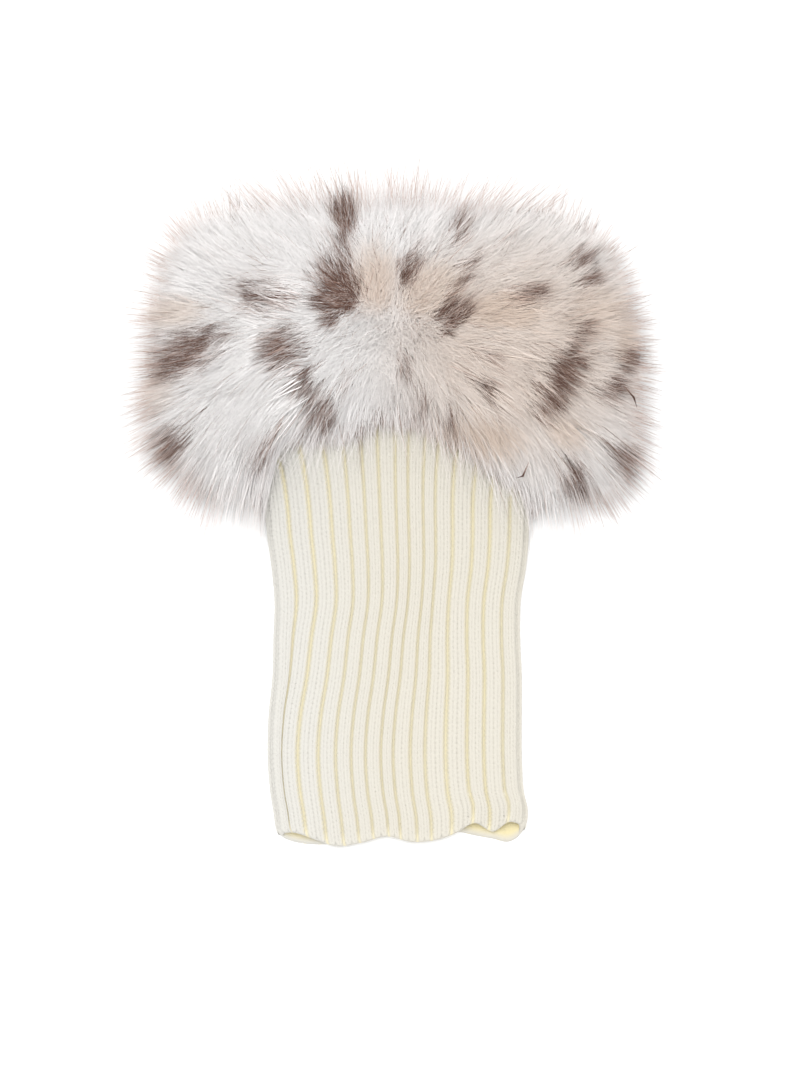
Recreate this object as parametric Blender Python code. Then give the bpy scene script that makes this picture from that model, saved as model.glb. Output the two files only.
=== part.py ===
"""Boot cuff: a ribbed knitted tube with a band of long-pile fur round its top.

It lies flat on a surface with its front up. Sizes are in millimetres and are made metres when a mesh
is built. X runs to the right, Y from the knitted hem to the fur's top, and Z up from the surface.
Heights are measured along Y from the lowest point of the hem.
"""

import math
import random
from collections import namedtuple

import bpy

MM = 0.001
SEED = 7

# Knitted tube
HALF_GAP = 0.3  # half the slit left between the front and the back
WALL = 1.5  # cloth under the ribs
RIM_WALL = 1.05  # where the cloth is rounded off at its two edges
RIB_RISE = 1.0
CROWN = HALF_GAP + WALL + RIB_RISE  # from the tube's middle to a rib's crown
FOLD_RADIUS = 1.4  # the middle of the wall where it turns at the sides
RIBS = 32
FRONT_RIB_WIDTHS = (5.3, 6.1, 6.1, 5.1, 4.6, 4.2, 4.6, 3.3, 4.3, 3.3, 4.9, 5.8, 4.9, 5.7, 4.1)
FIRST_GROOVE = -1.1  # from the front end of the left fold
FRONT_RUN = 70.1  # flat width between the two folds, where the ribs were measured
RIB_PROFILE = ((0.0, 0.0), (0.2, 0.86), (0.5, 1.0), (0.8, 0.86))  # share of the width, share of the rise
KNIT_TOP = 190.0
LYING = 1.75  # height of the tube's middle where it lies on the surface
CARRIED = 12.5  # and where the fur under it holds it up

KnitSection = namedtuple("KnitSection", "height left right lift sway")
KNIT_SECTIONS = (
    KnitSection(0.0, -36.4, 39.8, LYING, -3.6),
    KnitSection(1.2, -37.0, 40.2, LYING, -3.7),
    KnitSection(8.0, -37.7, 40.4, LYING, -4.0),
    KnitSection(16.0, -38.7, 39.2, LYING, -4.0),
    KnitSection(28.0, -39.5, 38.6, LYING, -4.0),
    KnitSection(40.0, -39.2, 38.6, LYING, -3.4),
    KnitSection(52.0, -38.0, 38.6, LYING, -2.4),
    KnitSection(64.0, -37.7, 38.1, LYING, -1.2),
    KnitSection(75.0, -37.4, 38.3, LYING, 0.0),
    KnitSection(86.0, -38.4, 40.0, 2.1, 0.0),
    KnitSection(95.0, -39.6, 40.7, 3.6, 0.0),
    KnitSection(104.0, -40.4, 40.9, 6.0, 0.0),
    KnitSection(113.0, -41.8, 41.9, 8.6, 0.0),
    KnitSection(122.0, -44.0, 44.0, 11.0, 0.0),
    KnitSection(132.0, -46.4, 46.4, 12.3, 0.0),
    KnitSection(150.0, -47.5, 47.5, CARRIED, 0.0),
    KnitSection(188.8, -47.5, 47.5, CARRIED, 0.0),
    KnitSection(KNIT_TOP, -47.5, 47.5, CARRIED, 0.0),
)
SWAY_STARTS, SWAY_FULL, SWAY_FADES, SWAY_ENDS = 0.0, 0.1, 0.5, 0.8  # shares of the front's width

HemPoint = namedtuple("HemPoint", "x front back")
HEM = (
    HemPoint(-37.0, 3.6, 3.4),
    HemPoint(-31.0, 4.2, 1.2),
    HemPoint(-24.0, 1.8, 0.4),
    HemPoint(-18.0, 0.0, 0.8),
    HemPoint(-10.0, 1.2, 1.6),
    HemPoint(-3.0, 3.0, 3.2),
    HemPoint(5.0, 1.3, 1.8),
    HemPoint(13.0, 2.1, 2.6),
    HemPoint(18.5, 4.2, 4.2),
    HemPoint(24.0, 7.2, 3.2),
    HemPoint(29.6, 4.5, 2.2),
    HemPoint(34.6, 7.6, 1.3),
    HemPoint(40.0, 5.6, 4.6),
)
HEM_FADE = 22.0  # height above which the hem's waves are gone

Mouth = namedtuple("Mouth", "x reach rise")
MOUTHS = (Mouth(-29.0, 7.0, 1.4), Mouth(23.5, 5.0, 2.0), Mouth(34.5, 4.5, 2.6))  # the front lifts here
MOUTH_FADE = 15.0

# Fur band
CLEAR = 0.35  # between the knit's crowns and the back of the fur
BAND_INSIDE = CROWN + CLEAR
BAND_HALF_WIDTH = 47.5  # of the knit inside the band
LIP_OVER_KNIT = 0.6
LIP_CLOSES = 4.0  # height over which the pile closes above the knit's top edge
COLUMNS_A_SIDE = 32  # on the front, the back and each fold
ROWS = 30
FULLNESS = 2.4  # 2 is an ellipse, and more is squarer
INNER_ROWS = (0.6, 0.36, 0.24, 0.14, 0.06)  # shares of the height from the lower tip to the knit's top

BandSection = namedtuple("BandSection", "place top bottom pile lean")
# place: 0 to 1 front, left to right; 1 to 2 right fold; 2 to 3 back, right to left; 3 to 4 left fold.
# lean: how much fuller the pile is at the bottom than in the middle.
BAND_SECTIONS = (
    BandSection(0.00, 196.4, 110.0, 21.5, 0.02),
    BandSection(0.04, 197.2, 117.5, 21.0, 0.00),
    BandSection(0.08, 198.0, 121.6, 20.5, 0.00),
    BandSection(0.14, 199.0, 123.0, 20.0, 0.00),
    BandSection(0.22, 199.8, 123.2, 19.6, 0.00),
    BandSection(0.32, 200.4, 123.0, 19.4, 0.00),
    BandSection(0.41, 200.6, 127.6, 19.4, 0.00),
    BandSection(0.50, 200.2, 128.6, 19.4, 0.00),
    BandSection(0.63, 199.2, 126.2, 19.4, 0.00),
    BandSection(0.73, 198.0, 121.0, 19.6, 0.00),
    BandSection(0.84, 197.0, 115.6, 20.0, 0.02),
    BandSection(0.93, 195.6, 111.4, 20.5, 0.04),
    BandSection(1.00, 194.6, 107.6, 21.5, 0.06),
    BandSection(1.25, 193.2, 102.6, 25.5, 0.09),
    BandSection(1.50, 192.0, 101.6, 27.6, 0.10),
    BandSection(1.75, 192.0, 102.4, 23.0, 0.09),
    BandSection(2.00, 193.4, 104.6, 15.0, 0.04),
    BandSection(2.50, 197.0, 106.5, 14.0, 0.00),
    BandSection(3.00, 195.4, 105.0, 15.0, 0.02),
    BandSection(3.25, 195.0, 103.4, 23.5, 0.04),
    BandSection(3.50, 195.4, 103.0, 29.6, 0.05),
    BandSection(3.75, 195.8, 104.2, 26.5, 0.04),
    BandSection(4.00, 196.4, 110.0, 21.5, 0.02),
)

# Locks of fur, laid out on the band unrolled: across runs round it and up is a height
SIDE_LENGTH = 96.0  # of the front, of the back and of each fold, on the outside of the pile
LOCKS_ROUND, LOCKS_UP = 26, 7
LOCK_LENGTH, LOCK_WIDTH = 27.0, 17.0
LOCK_RISE = 5.5
LOCK_BED = 0.45  # share of the rise by which the pile between the locks lies lower
LOCK_CHANGES = 0.35  # share by which one lock is larger or smaller than another
LOCK_SHIFT = 0.34  # share of its room by which a lock lies off an even grid
NAP_PLACE, NAP_HEIGHT = 0.54, 156.0  # the crown that the fur is combed away from
NAP_ROUND = 85.0  # past this distance round the band the fur is combed straight down
NAP_DROOP = 0.35  # how much higher up the fur turns down for each millimetre round from the crown
LOWEST_LOCK, HIGHEST_LOCK = 100.0, 202.0

Lock = namedtuple("Lock", "across up right above size")

# Finishes, as linear colours
KNIT_COLOUR, KNIT_ROUGHNESS = (0.83, 0.79, 0.68), 0.9
FUR_COLOUR, FUR_ROUGHNESS = (0.76, 0.73, 0.71), 0.75


def eased(low, high, value):
    share = min(max((value - low) / (high - low), 0.0), 1.0)
    return share * share * (3.0 - 2.0 * share)


def read(rows, column, at):
    """A column of a table at a place between its rows, on a smooth curve through them."""
    keys = [row[0] for row in rows]
    at = min(max(at, keys[0]), keys[-1])
    low = max(i for i in range(len(rows) - 1) if keys[i] <= at)
    values = [getattr(row, column) for row in rows]

    def slope(i):
        before, after = max(i - 1, 0), min(i + 1, len(rows) - 1)
        return (values[after] - values[before]) / (keys[after] - keys[before])

    span = keys[low + 1] - keys[low]
    t = (at - keys[low]) / span
    start, end = values[low], values[low + 1]
    return (
        start * (1 + 2 * t) * (1 - t) ** 2
        + end * t * t * (3 - 2 * t)
        + span * slope(low) * t * (1 - t) ** 2
        - span * slope(low + 1) * t * t * (1 - t)
    )


def split_place(place):
    """The side that a place round the tube is on, 0 to 3 as in BAND_SECTIONS, and the share along it."""
    side = int(place) % 4
    return side, place - int(place)


def turned(place):
    """How far the cloth has turned from facing up: half a turn on the back."""
    side, share = split_place(place)
    return math.pi * (0.0, share, 1.0, 1.0 + share)[side]


def tube_point(height, place, out):
    """A point that lies out from the tube's middle at this height and place round it."""
    side, share = split_place(place)
    left = read(KNIT_SECTIONS, "left", height) + CROWN
    right = read(KNIT_SECTIONS, "right", height) - CROWN
    angle = turned(place)
    x = (left + share * (right - left), right, right + share * (left - right), left)[side]
    if side == 0:
        swaying = eased(SWAY_STARTS, SWAY_FULL, share) - eased(SWAY_FADES, SWAY_ENDS, share)
        x += read(KNIT_SECTIONS, "sway", height) * swaying
    front = (1.0 + math.cos(angle)) / 2.0
    x += math.sin(angle) * out
    z = read(KNIT_SECTIONS, "lift", height) + math.cos(angle) * out
    hem = front * read(HEM, "front", x) + (1.0 - front) * read(HEM, "back", x)
    y = height + hem * (1.0 - eased(0.0, HEM_FADE, height))
    for mouth in MOUTHS:
        near = 1.0 - eased(0.0, mouth.reach, abs(x - mouth.x))
        z += front * mouth.rise * near * (1.0 - eased(0.0, MOUTH_FADE, height))
    return x, y, max(z, 0.0)


def rib_edges():
    """Where each rib starts, as a distance round the tube from the front end of its left fold."""
    fold = math.pi * FOLD_RADIUS
    girth = 2.0 * (FRONT_RUN + fold)
    other_ribs = RIBS - len(FRONT_RIB_WIDTHS)
    other_width = (girth - sum(FRONT_RIB_WIDTHS)) / other_ribs
    edges = [FIRST_GROOVE]
    for width in FRONT_RIB_WIDTHS + (other_width,) * other_ribs:
        edges.append(edges[-1] + width)
    return edges


def place_round(distance):
    """The place of a distance round the tube: each run and each fold counts as one."""
    fold = math.pi * FOLD_RADIUS
    distance %= 2.0 * (FRONT_RUN + fold)
    for side, length in enumerate((FRONT_RUN, fold, FRONT_RUN, fold)):
        if distance < length:
            return side + distance / length
        distance -= length
    return 0.0


def knit_wall():
    """Points and faces of the ribbed tube: ribs on its outer points, a plain inside and two rims."""
    edges = rib_edges()
    points, faces = [], []
    outer_rings, inner_rings = [], []
    for section in KNIT_SECTIONS:
        at_rim = section in (KNIT_SECTIONS[0], KNIT_SECTIONS[-1])
        ring = []
        for rib in range(RIBS):
            width = edges[rib + 1] - edges[rib]
            for share, rise in RIB_PROFILE:
                place = place_round(edges[rib] + share * width)
                out = HALF_GAP + (RIM_WALL if at_rim else WALL + RIB_RISE * rise)
                ring.append(len(points))
                points.append(tube_point(section.height, place, out))
        outer_rings.append(ring)
    for section in KNIT_SECTIONS[:-1:2] + KNIT_SECTIONS[-1:]:
        ring = []
        for rib in range(RIBS):
            middle = (edges[rib] + edges[rib + 1]) / 2.0
            ring.append(len(points))
            points.append(tube_point(section.height, place_round(middle), HALF_GAP))
        inner_rings.append(ring)
    faces += joined(outer_rings)
    faces += [face[::-1] for face in joined(inner_rings)]
    faces += rim(outer_rings[0], inner_rings[0])
    faces += [face[::-1] for face in rim(outer_rings[-1], inner_rings[-1])]
    return points, faces


def joined(rings):
    """Quads between each ring and the next, facing out when the rings run clockwise seen from +Y."""
    faces = []
    for low, high in zip(rings, rings[1:]):
        count = len(low)
        for i in range(count):
            after = (i + 1) % count
            faces.append((low[i], low[after], high[after], high[i]))
    return faces


def rim(outer, inner):
    """Triangles from a ribbed ring to a plain one that has one point to a rib, at the rib's middle."""
    step = len(outer) // len(inner)
    middle = step // 2
    faces = []
    for rib, point in enumerate(inner):
        after = inner[(rib + 1) % len(inner)]
        first = rib * step + middle
        for k in range(step):
            start, end = outer[(first + k) % len(outer)], outer[(first + k + 1) % len(outer)]
            near = point if k < step // 2 else after
            faces.append((end, start, near))
            if k == step // 2 - 1:
                faces.append((end, point, after))
    return faces


def nap(across, up):
    """The direction that the fur is combed in at a point of the unrolled band."""
    girth = 4.0 * SIDE_LENGTH
    from_crown = (across - NAP_PLACE * SIDE_LENGTH + girth / 2.0) % girth - girth / 2.0
    sideways = from_crown * (1.0 - eased(0.0, NAP_ROUND, abs(from_crown)))
    upwards = up - NAP_HEIGHT - NAP_DROOP * abs(from_crown)
    length = max(math.hypot(sideways, upwards), 1.0)
    return sideways / length, upwards / length


def scattered_locks():
    """The tip of each lock, its direction and its size."""
    draw = random.Random(SEED)
    width = 4.0 * SIDE_LENGTH / LOCKS_ROUND
    height = (HIGHEST_LOCK - LOWEST_LOCK) / LOCKS_UP
    locks = []
    for row in range(LOCKS_UP):
        for column in range(LOCKS_ROUND):
            stagger = 0.5 * (row % 2)
            across = (column + stagger + LOCK_SHIFT * draw.uniform(-1.0, 1.0)) * width
            up = LOWEST_LOCK + (row + 0.5 + LOCK_SHIFT * draw.uniform(-1.0, 1.0)) * height
            size = 1.0 + LOCK_CHANGES * draw.uniform(-1.0, 1.0)
            locks.append(Lock(across, up, *nap(across, up), size))
    return locks


def lock_rise(across, up, locks):
    """How high the locks stand at a point of the unrolled band, as a share of a whole lock."""
    girth = 4.0 * SIDE_LENGTH
    highest = 0.0
    for lock in locks:
        right = (across - lock.across + girth / 2.0) % girth - girth / 2.0
        above = up - lock.up
        behind = -(right * lock.right + above * lock.above) / (LOCK_LENGTH * lock.size)
        if not 0.0 < behind < 1.0:
            continue
        aside = abs(above * lock.right - right * lock.above) / (LOCK_WIDTH / 2.0 * math.sqrt(behind))
        if aside < 1.0:
            highest = max(highest, lock.size * (1.0 - behind) * (1.0 - aside * aside))
    return highest


def fur_point(column, row, locks):
    """A point on the outside of the fur. Row 0 is its lower tip and the last row its upper one."""
    place = column / COLUMNS_A_SIDE
    top = read(BAND_SECTIONS, "top", place)
    bottom = read(BAND_SECTIONS, "bottom", place)
    level = -math.cos(math.pi * row / ROWS)
    height = (top + bottom) / 2.0 + level * (top - bottom) / 2.0
    full = (1.0 - abs(level) ** FULLNESS) ** (1.0 / FULLNESS) if 0 < row < ROWS else 0.0
    pile = read(BAND_SECTIONS, "pile", place) * (1.0 - read(BAND_SECTIONS, "lean", place) * level)
    angle = turned(place)
    edge = read(KNIT_SECTIONS, "right" if math.sin(angle) > 0.0 else "left", height)
    narrower = BAND_HALF_WIDTH - abs(edge)
    lower = CARRIED - read(KNIT_SECTIONS, "lift", height)
    held_out = abs(math.sin(angle)) * narrower + max(math.cos(angle), 0.0) * lower
    rise = LOCK_RISE * (lock_rise(place * SIDE_LENGTH, height, locks) - LOCK_BED)
    out = inside_out(height) + full * (pile + held_out + rise)
    return tube_point(height, place, out)


def inside_out(height):
    """How far the back of the fur lies from the tube's middle: past the knit's top edge it closes."""
    closing = eased(KNIT_TOP + LIP_OVER_KNIT, KNIT_TOP + LIP_OVER_KNIT + LIP_CLOSES, height)
    return BAND_INSIDE + (HALF_GAP - BAND_INSIDE) * closing


def fur_shell():
    """Points and faces of the band: a ring whose outside is the pile and whose inside follows the knit."""
    locks = scattered_locks()
    points, sections = [], []
    for column in range(4 * COLUMNS_A_SIDE):
        place = column / COLUMNS_A_SIDE
        top = read(BAND_SECTIONS, "top", place)
        bottom = read(BAND_SECTIONS, "bottom", place)
        section = []
        for row in range(ROWS + 1):
            section.append(len(points))
            points.append(fur_point(column, row, locks))
        down = [min(KNIT_TOP + LIP_OVER_KNIT + LIP_CLOSES, top - 1.0), KNIT_TOP + LIP_OVER_KNIT]
        down += [bottom + share * (KNIT_TOP - bottom) for share in INNER_ROWS]
        for height in down:
            section.append(len(points))
            points.append(tube_point(height, place, inside_out(height)))
        sections.append(section)
    faces = []
    for this, after in zip(sections, sections[1:] + sections[:1]):
        count = len(this)
        for i in range(count):
            up = (i + 1) % count
            faces.append((this[i], after[i], after[up], this[up]))
    return points, faces


def principled(name, colour, roughness):
    material = bpy.data.materials.new(name)
    material.use_nodes = True
    shader = material.node_tree.nodes["Principled BSDF"]
    shader.inputs["Base Color"].default_value = (*colour, 1.0)
    shader.inputs["Roughness"].default_value = roughness
    shader.inputs["Metallic"].default_value = 0.0
    return material


def middle_of(all_points):
    """The middle of the whole cuff's outline on the surface, which is the part's origin."""
    return [(min(p[axis] for p in all_points) + max(p[axis] for p in all_points)) / 2.0 for axis in (0, 1)]


def add_piece(name, shape, middle, material, collection):
    points, faces = shape
    mesh = bpy.data.meshes.new(name)
    mesh.from_pydata([((x - middle[0]) * MM, (y - middle[1]) * MM, z * MM) for x, y, z in points], [], faces)
    mesh.materials.append(material)
    mesh.shade_smooth()
    piece = bpy.data.objects.new(name, mesh)
    collection.objects.link(piece)
    return piece


def main():
    for leftover in list(bpy.data.objects):
        bpy.data.objects.remove(leftover, do_unlink=True)
    collection = bpy.data.collections.new("knitted_boot_cuff")
    bpy.context.scene.collection.children.link(collection)
    knit, fur = knit_wall(), fur_shell()
    middle = middle_of(knit[0] + fur[0])
    knit_finish = principled("rib_knit", KNIT_COLOUR, KNIT_ROUGHNESS)
    fur_finish = principled("faux_fur", FUR_COLOUR, FUR_ROUGHNESS)
    add_piece("knit_tube", knit, middle, knit_finish, collection)
    add_piece("fur_band", fur, middle, fur_finish, collection)


main()
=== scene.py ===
"""Looks of a boot cuff: a ribbed knitted tube with a band of long fur round its top, lying on its back.

Lengths are in millimetres. X runs to the right, heights run along Y from the lowest point of the hem, and
Z is up from the surface. A mesh becomes metres of the row frame when it is made.
"""

import math
from collections import namedtuple

import bpy
import numpy as np
from mathutils.kdtree import KDTree
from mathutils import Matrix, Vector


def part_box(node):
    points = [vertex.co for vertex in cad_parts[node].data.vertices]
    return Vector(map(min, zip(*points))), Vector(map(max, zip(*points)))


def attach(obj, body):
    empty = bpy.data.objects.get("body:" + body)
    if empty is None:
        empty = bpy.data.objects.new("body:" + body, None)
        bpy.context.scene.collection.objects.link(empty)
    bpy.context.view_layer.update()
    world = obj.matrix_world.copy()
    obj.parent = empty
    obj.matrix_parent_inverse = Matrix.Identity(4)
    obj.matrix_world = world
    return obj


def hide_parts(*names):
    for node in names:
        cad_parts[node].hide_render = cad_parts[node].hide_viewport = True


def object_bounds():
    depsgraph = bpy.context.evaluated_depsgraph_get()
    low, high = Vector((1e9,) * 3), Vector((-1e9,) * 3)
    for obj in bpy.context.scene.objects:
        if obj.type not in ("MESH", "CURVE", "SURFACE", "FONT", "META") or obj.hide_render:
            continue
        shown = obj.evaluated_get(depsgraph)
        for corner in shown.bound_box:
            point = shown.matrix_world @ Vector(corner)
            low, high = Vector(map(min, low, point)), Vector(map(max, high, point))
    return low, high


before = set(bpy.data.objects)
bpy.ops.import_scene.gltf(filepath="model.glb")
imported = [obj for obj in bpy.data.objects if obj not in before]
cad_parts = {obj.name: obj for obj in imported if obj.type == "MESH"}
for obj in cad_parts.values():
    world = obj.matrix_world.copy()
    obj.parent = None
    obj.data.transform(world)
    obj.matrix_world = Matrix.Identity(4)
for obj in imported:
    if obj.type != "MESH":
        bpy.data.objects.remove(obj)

CAD_LOW, CAD_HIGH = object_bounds()
MM = 0.001
SEED = 11
BODY = "root"

# The knitted tube, with the sizes that the part gives it
HALF_GAP = 0.3  # half the slit left between the front and the back
WALL = 1.5  # cloth under the ribs
RIB_RISE = 1.0
CROWN = HALF_GAP + WALL + RIB_RISE  # from the tube's middle to a rib's crown
FOLD_RADIUS = 1.4
RIBS = 32
FRONT_RIB_WIDTHS = (5.3, 6.1, 6.1, 5.1, 4.6, 4.2, 4.6, 3.3, 4.3, 3.3, 4.9, 5.8, 4.9, 5.7, 4.1)
FIRST_GROOVE = -1.1
FRONT_RUN = 70.1
FOLD_RUN = math.pi * FOLD_RADIUS
GIRTH = 2.0 * (FRONT_RUN + FOLD_RUN)
KNIT_TOP = 190.0
LYING, CARRIED = 1.75, 12.5

KnitSection = namedtuple("KnitSection", "height left right lift sway")
KNIT_SECTIONS = (
    KnitSection(0.0, -36.4, 39.8, LYING, -3.6),
    KnitSection(1.2, -37.0, 40.2, LYING, -3.7),
    KnitSection(8.0, -37.7, 40.4, LYING, -4.0),
    KnitSection(16.0, -38.7, 39.2, LYING, -4.0),
    KnitSection(28.0, -39.5, 38.6, LYING, -4.0),
    KnitSection(40.0, -39.2, 38.6, LYING, -3.4),
    KnitSection(52.0, -38.0, 38.6, LYING, -2.4),
    KnitSection(64.0, -37.7, 38.1, LYING, -1.2),
    KnitSection(75.0, -37.4, 38.3, LYING, 0.0),
    KnitSection(86.0, -38.4, 40.0, 2.1, 0.0),
    KnitSection(95.0, -39.6, 40.7, 3.6, 0.0),
    KnitSection(104.0, -40.4, 40.9, 6.0, 0.0),
    KnitSection(113.0, -41.8, 41.9, 8.6, 0.0),
    KnitSection(122.0, -44.0, 44.0, 11.0, 0.0),
    KnitSection(132.0, -46.4, 46.4, 12.3, 0.0),
    KnitSection(150.0, -47.5, 47.5, CARRIED, 0.0),
    KnitSection(188.8, -47.5, 47.5, CARRIED, 0.0),
    KnitSection(KNIT_TOP, -47.5, 47.5, CARRIED, 0.0),
)
SWAY_STARTS, SWAY_FULL, SWAY_FADES, SWAY_ENDS = 0.0, 0.1, 0.5, 0.8

HemPoint = namedtuple("HemPoint", "x front back")
HEM = (
    HemPoint(-37.0, 3.6, 3.4),
    HemPoint(-31.0, 4.2, 1.2),
    HemPoint(-24.0, 1.8, 0.4),
    HemPoint(-18.0, 0.0, 0.8),
    HemPoint(-10.0, 1.2, 1.6),
    HemPoint(-3.0, 3.0, 3.2),
    HemPoint(5.0, 1.3, 1.8),
    HemPoint(13.0, 2.1, 2.6),
    HemPoint(18.5, 4.2, 4.2),
    HemPoint(24.0, 7.2, 3.2),
    HemPoint(29.6, 4.5, 2.2),
    HemPoint(34.6, 7.6, 1.3),
    HemPoint(40.0, 5.6, 4.6),
)
HEM_FADE = 22.0
Mouth = namedtuple("Mouth", "x reach rise")
MOUTHS = (Mouth(-29.0, 7.0, 1.4), Mouth(23.5, 5.0, 2.0), Mouth(34.5, 4.5, 2.6))
MOUTH_FADE = 15.0

# Finer form of the knit
WALL_SINK = 0.2  # the wall lies this far under the stitches' crowns
RIB_SHARPNESS = 3.2  # higher is a flatter rib with a narrower groove
RIB_SPLIT, SPLIT_WIDTH = 0.1, 0.08  # the dip between a rib's two columns of stitches
RIB_STEPS = 12  # points across each rib
GROOVES_START, GROOVES_FULL = 0.8, 4.0  # heights between which the grooves run out towards the hem
HEM_FILL = 0.62  # share of a rib's rise that the plain hem keeps
EDGE_ROUND = 1.1  # the wall's rounding at its two edges
RING_STEP = 4.0
EDGE_RINGS = (0.12, 0.35, 0.7, 1.1, 1.8, 2.8)
STITCH_ROW = 1.52
FIRST_ROW, LAST_ROW_FRONT, LAST_ROW_BACK = 1.5, 136.0, 118.0
COLUMN_SHARES = (0.29, 0.71)  # where a rib's two columns of stitches run
LEG_WIDTH, LEG_OFFSET, LEG_TILT = 0.14, 0.1, 0.055  # shares of the rib's width
LEG_LENGTH = 1.95  # as a share of a row
LEG_THICK, LEG_DIP = 0.26, 0.12
LEG_SHADING, WALL_SHADING = 0.46, 0.64  # how far stitches and ribs take light like the whole tube
GROOVE_TINT_STARTS, GROOVE_TINT_FULL = 0.74, 0.98  # how far from a rib's middle its cream turns yellow
GROOVE_TINT, MIDDLE_TINT = 0.85, 0.85  # how yellow the grooves are against the lining, and the middle ones against them
LINING_TINT = (0.5, 2.6)  # heights between which the lining goes from cream to yellow
FOLD_FADE = 0.06  # share of the front or back, next to a fold, whose grooves stay cream
COOL_LEFT, COOL_ENDS = -38.0, 4.0  # the cream is greyer at the left, and no longer so at the second x

# The pelt under the fur
PELT_INSIDE = CROWN + 0.35
PELT_THICK = 1.1
PELT_TOP = 190.5
PeltEdge = namedtuple("PeltEdge", "place low")
PELT_EDGES = (
    PeltEdge(0.0, 121.0),
    PeltEdge(0.06, 130.5),
    PeltEdge(0.3, 131.5),
    PeltEdge(0.41, 136.0),
    PeltEdge(0.5, 137.0),
    PeltEdge(0.63, 134.6),
    PeltEdge(0.84, 124.0),
    PeltEdge(1.0, 116.0),
    PeltEdge(1.5, 110.0),
    PeltEdge(2.0, 113.0),
    PeltEdge(2.5, 114.8),
    PeltEdge(3.0, 113.3),
    PeltEdge(3.5, 111.4),
    PeltEdge(4.0, 121.0),
)

# Fur
LEAN = 9.0  # how far a hair's root lies behind its tip at the ends of the band
LEAN_AT_CROWN = 0.4  # share of that near the crown, where the fur stands up
CROWN_AT, CROWN_REACH = (2.0, 160.0), (62.0, 34.0)
EDGE_ROOTS = 11.0  # width at each end of the front and back whose hairs fan out round the side
LOBES = (102.0, 128.0)  # heights under which the hanging hairs come from the fold itself, and over which from all that width
TUFTS, LOCKS = 8000, 620  # small bunches of hairs, and the larger locks they gather in
LOCK_GATHER, LOCK_LONGER = 0.16, 0.16
KNEE = 0.6  # how far out from its root a hair bends over, as a share of its length
PILE_SHADING = 0.92  # how far a hair takes light like the fur's whole surface, and not like a lone strand
SEEN = 0.88  # share along a hair at which its place in the pattern is read

Coat = namedtuple("Coat", "name hairs ring radius shortest longest gather front piece guard")
COATS = (
    Coat("underfur", 50000, 0.6, 0.145, -0.25, 0.02, 0.25, 0.5, 25000, False),
    Coat("guard_hair", 60000, 0.66, 0.064, -0.06, 0.14, 0.45, 0.75, 30000, True),
)
FRINGE = Coat("fringe", 9000, 0.6, 0.1, 0.0, 0.0, 0.4, 0.0, 9000, False)
BROW = Coat("brow", 4000, 0.6, 0.1, 0.0, 0.0, 0.3, 0.0, 4000, False)
BROW_ROOTS, BROW_RISE, BROW_OUT = 3.5, (0.8, 4.4), (-0.5, 6.5)  # from under the pelt's upper edge to over the opening
STAND_PROUD = 13.5  # hairs end at most this far outside the part's box
Reach = namedtuple("Reach", "x height across up longer")
# Places at the outline where the hair grows longer
REACHES = (Reach(-80.0, 127.0, 14.0, 20.0, 0.26), Reach(72.0, 112.0, 14.0, 13.0, 0.26))
FRINGE_DROP, FRINGE_ROOTS = (4.5, 11.5), 5.0  # how far it hangs under the pelt's edge, and starts over it
FRINGE_SPREAD = ((0.0, 0.55, 0.63, 0.92, 1.0), (0.0, 1.0, 2.0, 3.0, 4.0))  # shares of its hairs, by place round the knit
FRINGE_UNEVEN = 1.8
WISPS, WISPS_AT_RIM, WISP_LONGER = 0.05, 0.38, 1.02
DARK_THICKER = 0.4  # dark guard hairs are this much thicker
UNDER_DARK = (0.1, 0.6)
DARK_SHARE = 0.95  # share of the hairs that are dark in the middle of a spot
FRINGE_DARK_AND_SHADE = 0.4  # how dark the fringe's hairs can be: partly darker hairs, partly painted shade where the fur hangs over the knit
STRAY_DARK = 0.025  # share of the hairs that are dark outside the spots
TIP_TINT_AND_SHADE, WISP_TINT_AND_SHADE, TINTED_INSIDE = 0.22, 1.2, 0.12  # how dark the tips of pale guard hairs can be, and the share of it away from the outline; at the outline this darkening is painted shade, where pale hair looks grey against the white floor
EDGE_LONGER = -0.04  # how much longer hairs are at the outline
SIDE_UPRIGHT = 0.75  # how much of their lean along the band hairs lose at its sides
LIFTED = 2.5  # how far the pile at the sides takes light from above
# Shares of a hair's darkness from its root to its tip
DARKENING = ((0.0, 0.15), (0.45, 0.5), (0.6, 0.8), (0.76, 1.0), (1.0, 1.0))

Stroke = namedtuple("Stroke", "x height heading")
# Where each patch of the front is combed to: 0 is right and 90 is up
STROKES = (
    Stroke(-15.5, 197, 90), Stroke(-38, 195, 104), Stroke(-60, 186, 138), Stroke(-73, 176, 160),
    Stroke(-76, 160, 182), Stroke(-72, 153, 196), Stroke(-60, 148, 210), Stroke(-43, 167, 168),
    Stroke(-35, 151, 208), Stroke(-29, 182, 110), Stroke(-17, 176, 92), Stroke(-23, 167, 172),
    Stroke(-20, 172, 132), Stroke(-21, 160, 222), Stroke(-11, 170, 70), Stroke(-15, 158, 264), Stroke(-28, 138, 258), Stroke(-44, 130, 250), Stroke(-36, 122, 264), Stroke(-69, 121, 226),
    Stroke(-75, 130, 212), Stroke(-60, 112, 250), Stroke(-42, 110, 267), Stroke(-14, 133, 266),
    Stroke(1, 194, 68), Stroke(5, 176, 55), Stroke(22, 176, 48), Stroke(20, 164, 45),
    Stroke(32, 194, 62), Stroke(41, 167, 18), Stroke(57, 178, 28), Stroke(50, 189, 45),
    Stroke(65, 170, 8), Stroke(33, 156, -6), Stroke(55, 154, -2), Stroke(52, 143, -38),
    Stroke(45, 132, -62), Stroke(73, 148, -24), Stroke(74, 133, -38), Stroke(70, 117, -52),
    Stroke(54, 110, -68), Stroke(7, 148, -62), Stroke(29, 141, -52), Stroke(25, 122, -80),
    Stroke(10, 128, -86), Stroke(-6, 153, 235), Stroke(0, 159, 85),
)
STROKE_REACH = 5.0
BACK_CROWN = (4.0, 158.0)  # the point that the back is combed away from

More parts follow.
